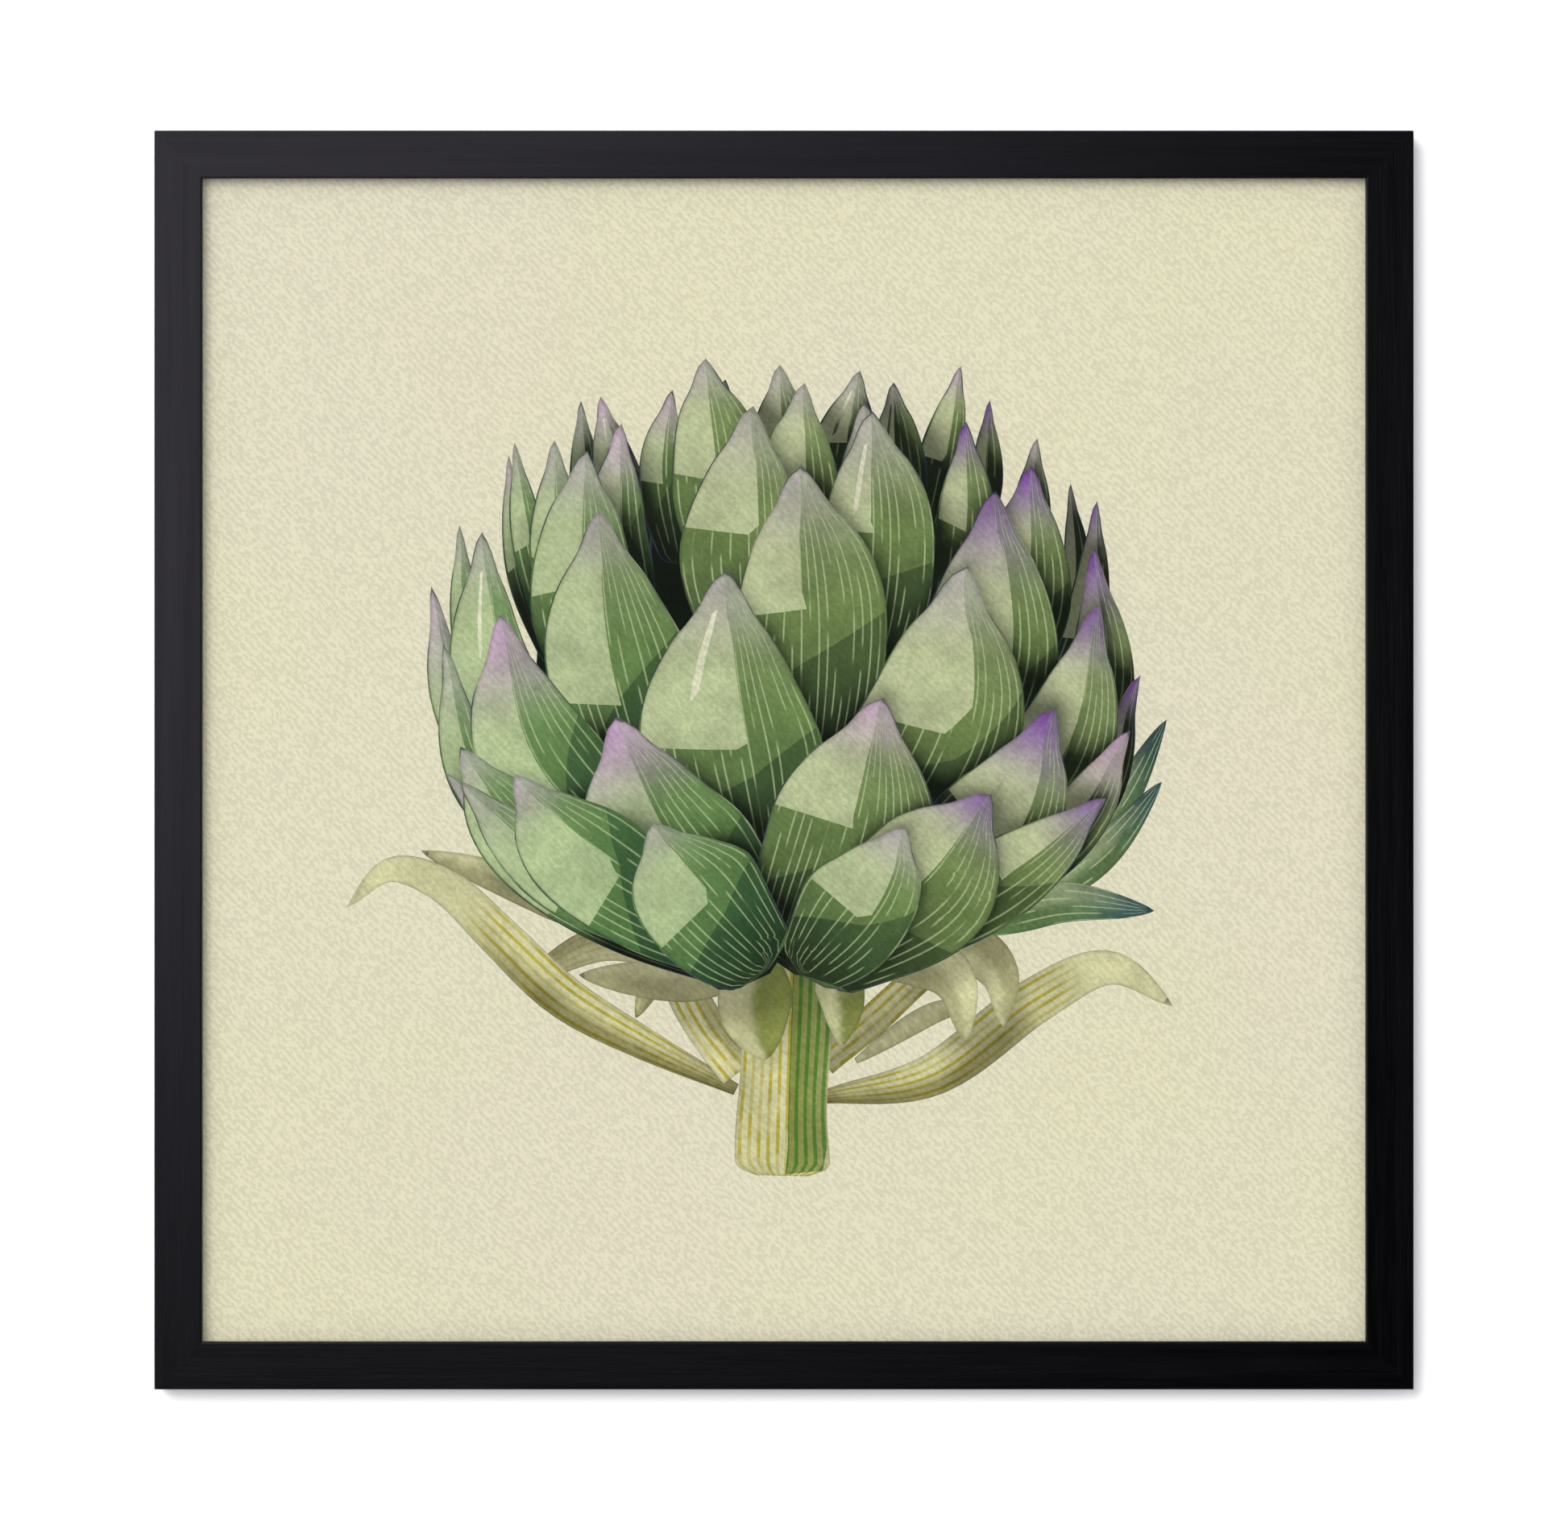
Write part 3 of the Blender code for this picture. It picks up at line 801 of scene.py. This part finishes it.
def granulated(tree, wash):
    """Pigment settles unevenly, in soft pools and in fine grains."""
    pools = tree.ramp(tree.noise(tree.place(), 45, 3.0, 0.6), 0.3, 0.7, 0.86, 1.14)
    grains = tree.ramp(tree.noise(tree.place(), 420, 2.0, 0.6), 0.3, 0.7, 0.93, 1.07)
    return tree.scaled(wash, tree.math("MULTIPLY", pools, grains))


def veined(tree, wash, marks):
    """Fine pale veins along the blade, or wider dark stripes, both broken up along their length.

    A strength above 0 makes veins. Below 0 it makes yellow stripes, and from about -1.5 green ones.
    """
    vein_place, along, strength = tree.make("ShaderNodeSeparateColor", {0: marks}).outputs
    off = tree.math("ABSOLUTE", tree.math("SUBTRACT", tree.math("FRACT", vein_place), 0.5))
    which = tree.math("MULTIPLY", tree.math("FLOOR", vein_place), 3.7)
    spot = tree.make("ShaderNodeCombineXYZ", {0: which, 1: tree.math("MULTIPLY", along, 5.0)}).outputs[0]
    broken = tree.ramp(tree.noise(spot, 1.0, 1.0), 0.42, 0.52)

    vein = tree.math("MULTIPLY", tree.math("MULTIPLY", tree.ramp(off, 0.14, 0.05), broken), strength)
    wash = tree.mix(wash, tuple(COLOUR["vein"]), tree.math("MULTIPLY", vein, 0.64, clamp=True))

    band = tree.math("MULTIPLY", tree.ramp(off, 0.24, 0.14), tree.math("MAXIMUM", broken, 0.55))
    stripe = tree.math("MULTIPLY", tree.math("MULTIPLY", band, strength), -0.9, clamp=True)
    tint = tree.mix(STRIPE_YELLOW, STRIPE_GREEN, tree.ramp(strength, -1.3, -1.8))
    return tree.mix(wash, tree.mix(wash, tint, 1.0, "MULTIPLY"), stripe)


def contoured(tree, wash, rim):
    """The wash darkens at its edge, with a fine dark line that comes and goes."""
    wash = tree.mix(wash, tuple(COLOUR["gap"]), tree.ramp(rim, 2.2, 0.2, 0.0, 0.22))
    uneven = tree.ramp(tree.noise(tree.place(shift=(7, 0, 2)), 60, 2.0), 0.40, 0.60, 0.1, 0.9)
    line = tree.math("MULTIPLY", tree.ramp(rim, 0.75, 0.25), uneven)
    hue = tree.mix(rgb("17332F"), rgb("292746"), tree.ramp(tree.noise(tree.place(), 25), 0.45, 0.6))
    return tree.mix(wash, hue, tree.math("MULTIPLY", line, 0.85))


def print_material():
    """Cream paper with a tooth, and on it the painting."""
    tree = Tree("printed_paper")
    tooth = paper_tooth(tree)
    wash, cover = tree.attribute("paint")
    marks, rim = tree.attribute("marks")
    wash = contoured(tree, veined(tree, granulated(tree, wash), marks), rim)
    colour = tree.mix(paper_colour(tree), wash, cover)
    # Painted shade and highlight: the colour is darker in the tooth's hollows and lighter on its tops, over
    # bare paper and paint alike. On the paint it also stands for pigment that settles in the hollows.
    colour = tree.scaled(colour, tree.ramp(tooth, 0.38, 0.62, 0.92, 1.06))
    return tree.finish(colour, 0.9, tree.bump(tooth, 0.0005, 0.65), Specular_IOR_Level=0.25)


def black_wood(name, along_x):
    """Satin black stain over fine grain that runs along the rail."""
    tree = Tree(name)
    stretch = (0.03, 1, 1) if along_x else (1, 1, 0.03)
    grain = tree.noise(tree.place(scale=stretch), 900, 3.0, 0.6)
    bands = tree.noise(tree.place(scale=stretch), 160, 2.0, 0.5)
    colour = tree.mix(rgb("020203"), rgb("070609"), tree.ramp(grain, 0.35, 0.75))
    rough = tree.ramp(bands, 0.3, 0.7, 0.32, 0.52)
    return tree.finish(colour, rough, tree.bump(grain, 0.00015, 0.8))


def filler_section(face, depth):
    """A filler's outline, for a rail's face and depth: how far in from the corner, and how deep."""
    inner = face - FILLER_MARGIN
    back = depth - FILLER_BACK_MARGIN
    front_edge = [(FILLER_MARGIN, FILLER_FRONT), (inner, FILLER_FRONT)]
    lip_back = [(inner, FILLER_LIP_DEPTH), (FILLER_WALL, FILLER_LIP_DEPTH)]
    return front_edge + lip_back + [(FILLER_WALL, back), (FILLER_MARGIN, back)]


def filler_mesh(name, outline, x, z):
    """A thin plate on the mitre of one corner, where x and z are each 1 or -1."""
    across = Vector((x, 0, -z)).normalized() * FILLER_HALF_THICKNESS * MM
    verts = [point + across * side for side in (-1, 1) for point in outline]
    count = len(outline)
    faces = [tuple(range(count)), tuple(range(2 * count - 1, count - 1, -1))]
    faces += [(i, i + count, (i + 1) % count + count, (i + 1) % count) for i in range(count)]
    mesh = bpy.data.meshes.new(name)
    mesh.from_pydata([tuple(v) for v in verts], [], faces)
    face_outwards(mesh)
    return mesh


def make_mitre_fillers(frame):
    """Dark glue lines that fill the mitres from the front to the rabbet, and along the outer corners."""
    low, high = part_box("rail_top")
    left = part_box("rail_left")[0].x
    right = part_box("rail_right")[1].x
    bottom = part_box("rail_bottom")[0].z
    centre = Vector(((left + right) / 2, 0, (bottom + high.z) / 2))
    half = (right - left) / 2
    section = filler_section((high.z - low.z) / MM, (high.y - low.y) / MM)
    material = frame["nodes"]["rail_top"].data.materials[0]
    corners = {"top_left": (-1, 1), "top_right": (1, 1), "bottom_right": (1, -1), "bottom_left": (-1, -1)}
    for corner, (x, z) in corners.items():
        outline = []
        for inset, deep in section:
            at = centre + Vector((x * (half - inset * MM), 0, z * (half - inset * MM)))
            outline.append(Vector((at.x, low.y + deep * MM, at.z)))
        mesh = filler_mesh(f"mitre_filler_{corner}", outline, x, z)
        mesh.materials.append(material)
        filler = bpy.data.objects.new(f"mitre_filler_{corner}", mesh)
        bpy.context.scene.collection.objects.link(filler)
        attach(filler, "root")


def face_outwards(mesh):
    """Turns a closed mesh's faces outwards."""
    bm = bmesh.new()
    bm.from_mesh(mesh)
    bmesh.ops.recalc_face_normals(bm, faces=bm.faces)
    bm.to_mesh(mesh)
    bm.free()


def glazing_glass():
    """Low-reflection picture glass: clear, with a faint gloss that grows at a slant."""
    tree = Tree("picture_glass")
    tree.nodes.remove(tree.shader)
    clear = tree.make("ShaderNodeBsdfTransparent", {0: (0.985, 0.99, 0.985)})
    gloss = tree.make("ShaderNodeBsdfGlossy", {"Roughness": 0.06})
    amount = tree.make("ShaderNodeFresnel", {"IOR": 1.08}).outputs[0]
    mixed = tree.make("ShaderNodeMixShader", {0: amount, 1: clear.outputs[0], 2: gloss.outputs[0]})
    tree.links.new(mixed.outputs[0], tree.output.inputs["Surface"])
    return tree.material


def metal(name, code):
    """A plated metal of a hex colour, a little duller in patches."""
    tree = Tree(name)
    speckle = tree.noise(tree.place(), 1500, 2.0)
    stain = tree.noise(tree.place(), 150, 2.0)
    dull = tuple(linear(code) * 0.72)
    colour = tree.mix(rgb(code), dull, tree.ramp(stain, 0.45, 0.75))
    rough = tree.ramp(speckle, 0.3, 0.7, 0.28, 0.46)
    return tree.finish(colour, rough, tree.bump(speckle, 0.00002, 0.5), Metallic=1.0)


def hardboard():
    """Pressed brown wood fibre, with soft darker clouds."""
    tree = Tree("hardboard")
    fibre = tree.noise(tree.place(), 700, 4.0, 0.7)
    cloud = tree.noise(tree.place(), 6, 2.0, 0.5)
    colour = tree.mix(rgb("7A5A3C"), rgb("A07B55"), tree.ramp(fibre, 0.3, 0.7))
    colour = tree.mix(colour, rgb("6B4E34"), tree.ramp(cloud, 0.40, 0.75, 0.0, 0.25))
    return tree.finish(colour, 0.72, tree.bump(fibre, 0.0001, 0.5))


def felt():
    """Black felt with a soft fuzz."""
    tree = Tree("felt")
    fuzz = tree.noise(tree.place(), 2500, 3.0, 0.7)
    colour = tree.mix(rgb("1B1B1D"), rgb("3A3A3D"), tree.ramp(fuzz, 0.35, 0.7))
    return tree.finish(colour, 0.95, tree.bump(fuzz, 0.0002, 0.7), Sheen_Weight=0.3)


def dress_cad_nodes(frame):
    """Gives each CAD node that stays its material."""
    zinc = metal("zinc_steel", "B9BBBC")
    brass = metal("brassed_steel", "C9AE6B")
    level = black_wood("black_wood_level", True)
    upright = black_wood("black_wood_upright", False)
    looks = {
        "rail_top": level,
        "rail_bottom": level,
        "rail_left": upright,
        "rail_right": upright,
        "glazing": glazing_glass(),
        "backing_board": hardboard(),
        "wall_pad": felt(),
        "sawtooth_hanger": brass,
        "hanger_screw": brass,
        "flex_tab": zinc,
        "v_nail": zinc,
    }
    for name, node in frame["nodes"].items():
        for start, look in looks.items():
            if name.startswith(start):
                node.data.materials.clear()
                node.data.materials.append(look)


# ---------------------------------------------------------------- stage, light and camera


def stage_plane(name, size, location, rotation, material, hidden_from):
    """A square of the stage, hidden from some kinds of rays."""
    bpy.ops.mesh.primitive_plane_add(size=size, location=location, rotation=rotation)
    plane = bpy.context.object
    plane.name = name
    plane.data.materials.append(material)
    plane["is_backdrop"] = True
    for ray in hidden_from:
        setattr(plane, f"visible_{ray}", False)
    return plane


def wall_material():
    """White and faintly glowing from its front, and clear from behind."""
    tree = Tree("stage_wall")
    tree.nodes.remove(tree.shader)
    glow = tree.make("ShaderNodeEmission", {0: (1, 1, 1, 1), 1: WALL_GLOW})
    matte = tree.make("ShaderNodeBsdfDiffuse", {0: (0.9, 0.9, 0.9, 1)})
    both = tree.make("ShaderNodeAddShader", {0: glow.outputs[0], 1: matte.outputs[0]})
    clear = tree.make("ShaderNodeBsdfTransparent")
    behind = tree.make("ShaderNodeNewGeometry").outputs["Backfacing"]
    mixed = tree.make("ShaderNodeMixShader", {0: behind, 1: both.outputs[0], 2: clear.outputs[0]})
    tree.links.new(mixed.outputs[0], tree.output.inputs["Surface"])
    return tree.material


def make_wall(centre, wall_y):
    """The wall behind the picture. It takes the picture's shadow, and changes no light on the picture."""
    place = (centre.x, wall_y, centre.z)
    hidden = ("diffuse", "glossy", "transmission", "volume_scatter", "shadow")
    return stage_plane("stage_wall", WALL_SIZE, place, (math.pi / 2, 0, 0), wall_material(), hidden)


def make_floor(centre):
    """A pale floor far below, which changes no light on the picture either."""
    material = Tree("stage_floor").finish((0.8, 0.8, 0.8), 0.9)
    place = (centre.x, 0, centre.z - FLOOR_DROP)
    return stage_plane("stage_floor", FLOOR_SIZE, place, (0, 0, 0), material, ("diffuse", "glossy", "shadow"))


def sun(name, direction, strength, spread, receivers):
    """A light from far off that only falls on its receivers."""
    light = bpy.data.lights.new(name, "SUN")
    light.energy = strength
    light.angle = math.radians(spread)
    made = bpy.data.objects.new(name, light)
    bpy.context.scene.collection.objects.link(made)
    made.rotation_euler = Vector(direction).to_track_quat("-Z", "Y").to_euler()
    group = bpy.data.collections.new(f"lit_by_{name}")
    for receiver in receivers:
        group.objects.link(receiver)
    made.light_linking.receiver_collection = group
    return made


def make_lights(wall, floor, pieces):
    world = bpy.data.worlds.new("studio")
    bpy.context.scene.world = world
    world.use_nodes = True
    background = world.node_tree.nodes["Background"]
    background.inputs["Color"].default_value = (0.95, 0.96, 1.0, 1)
    background.inputs["Strength"].default_value = STUDIO_LIGHT
    key = sun("key_light", *KEY_LIGHT, pieces)
    key.visible_glossy = False
    sun("wall_light", *WALL_LIGHT, [wall])
    sun("back_light", *BACK_LIGHT, [*pieces, floor])


def make_sheen_card(centre, front_y):
    """A card with a soft glow, seen only as a reflection: the black rails shine most at the upper left."""
    tree = Tree("sheen_card")
    tree.nodes.remove(tree.shader)
    split = tree.make("ShaderNodeSeparateXYZ", {0: tree.make("ShaderNodeTexCoord").outputs["Object"]})
    across = tree.ramp(split.outputs[0], SHEEN_FALL, -SHEEN_FALL, 0.0, 1.0)
    up = tree.ramp(split.outputs[1], -SHEEN_FALL, SHEEN_FALL * 0.4, 0.1, 1.0)
    strength = tree.math("MULTIPLY", tree.math("MULTIPLY", across, up), SHEEN)
    glow = tree.make("ShaderNodeEmission", {0: (0.93, 0.88, 1.05, 1), 1: strength})
    tree.links.new(glow.outputs[0], tree.output.inputs["Surface"])
    place = (centre.x, front_y - CARD_AHEAD, centre.z)
    hidden = ("camera", "diffuse", "transmission", "volume_scatter", "shadow")
    stage_plane("sheen_card", CARD_SIZE, place, (math.pi / 2, 0, 0), tree.material, hidden)


def make_camera(centre, front_y):
    """Straight on to the picture."""
    data = bpy.data.cameras.new("camera")
    data.sensor_width = SENSOR
    data.lens = SENSOR * CAMERA_DISTANCE / VIEW_WIDTH
    data.clip_end = CLIP_END
    camera = bpy.data.objects.new("camera", data)
    bpy.context.scene.collection.objects.link(camera)
    camera.location = (centre.x, front_y - CAMERA_DISTANCE, centre.z)
    camera.rotation_euler = (math.pi / 2, 0, 0)
    bpy.context.scene.camera = camera


def main():
    for old in list(bpy.data.objects):
        bpy.data.objects.remove(old)
    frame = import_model()
    cad_low, cad_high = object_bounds()
    centre = (cad_low + cad_high) / 2
    make_print()
    dress_cad_nodes(frame)
    make_mitre_fillers(frame)
    wall = make_wall(centre, cad_high.y)
    floor = make_floor(centre)
    pieces = [o for o in bpy.data.objects if o.type == "MESH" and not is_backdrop(o)]
    make_lights(wall, floor, pieces)
    make_sheen_card(centre, cad_low.y)
    make_camera(centre, cad_low.y)
    bpy.context.scene.view_settings.view_transform = "Standard"


main()
